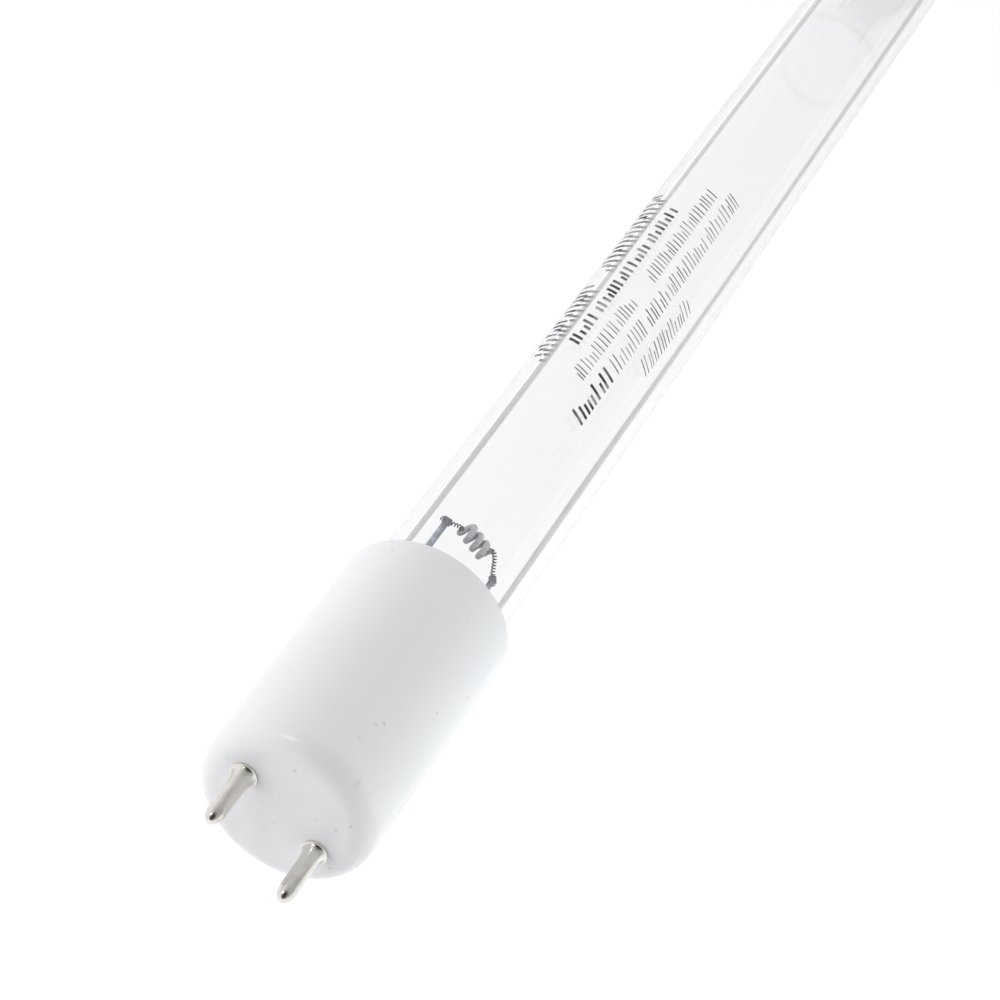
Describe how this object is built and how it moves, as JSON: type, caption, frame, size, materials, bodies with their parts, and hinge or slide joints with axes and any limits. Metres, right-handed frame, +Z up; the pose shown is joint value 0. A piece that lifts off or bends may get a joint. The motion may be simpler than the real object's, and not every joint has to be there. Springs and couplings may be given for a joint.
{
  "type": "germicidal uv lamp",
  "caption": "Straight clear quartz tube lamp with a coiled cathode inside and a white ceramic two-pin base at each end, for disinfection fixtures.",
  "frame": {"origin": "centre of the near base's end face, between its two pins", "axes": "+X along the lamp, from the near base to the far base; +Z up, with the pins' line 46 degrees above +Y"},
  "size_m": [0.321, 0.0238, 0.0238],
  "materials": {
    "quartz": "clear, fire polished",
    "ceramic": "unglazed, fine matt",
    "cement": "rough, matt",
    "pin_nickel": "nickel plated, bright",
    "post_metal": "drawn wire, satin",
    "lead_metal": "drawn wire, satin",
    "cathode_coil": "matt white coating on bare wire",
    "mercury": "liquid metal"
  },
  "bodies": {
    "root": {"far_base": "ceramic", "far_cathode": "cathode_coil", "far_cement": "cement", "far_left_foil": "lead_metal", "far_left_lead": "lead_metal", "far_left_pin": "pin_nickel", "far_left_post": "post_metal", "far_right_foil": "lead_metal", "far_right_lead": "lead_metal", "far_right_pin": "pin_nickel", "far_right_post": "post_metal", "mercury_bead": "mercury", "near_base": "ceramic", "near_cathode": "cathode_coil", "near_cement": "cement", "near_left_foil": "lead_metal", "near_left_lead": "lead_metal", "near_left_pin": "pin_nickel", "near_left_post": "post_metal", "near_right_foil": "lead_metal", "near_right_lead": "lead_metal", "near_right_pin": "pin_nickel", "near_right_post": "post_metal", "quartz_tube": "quartz"}
  },
  "joints": []
}
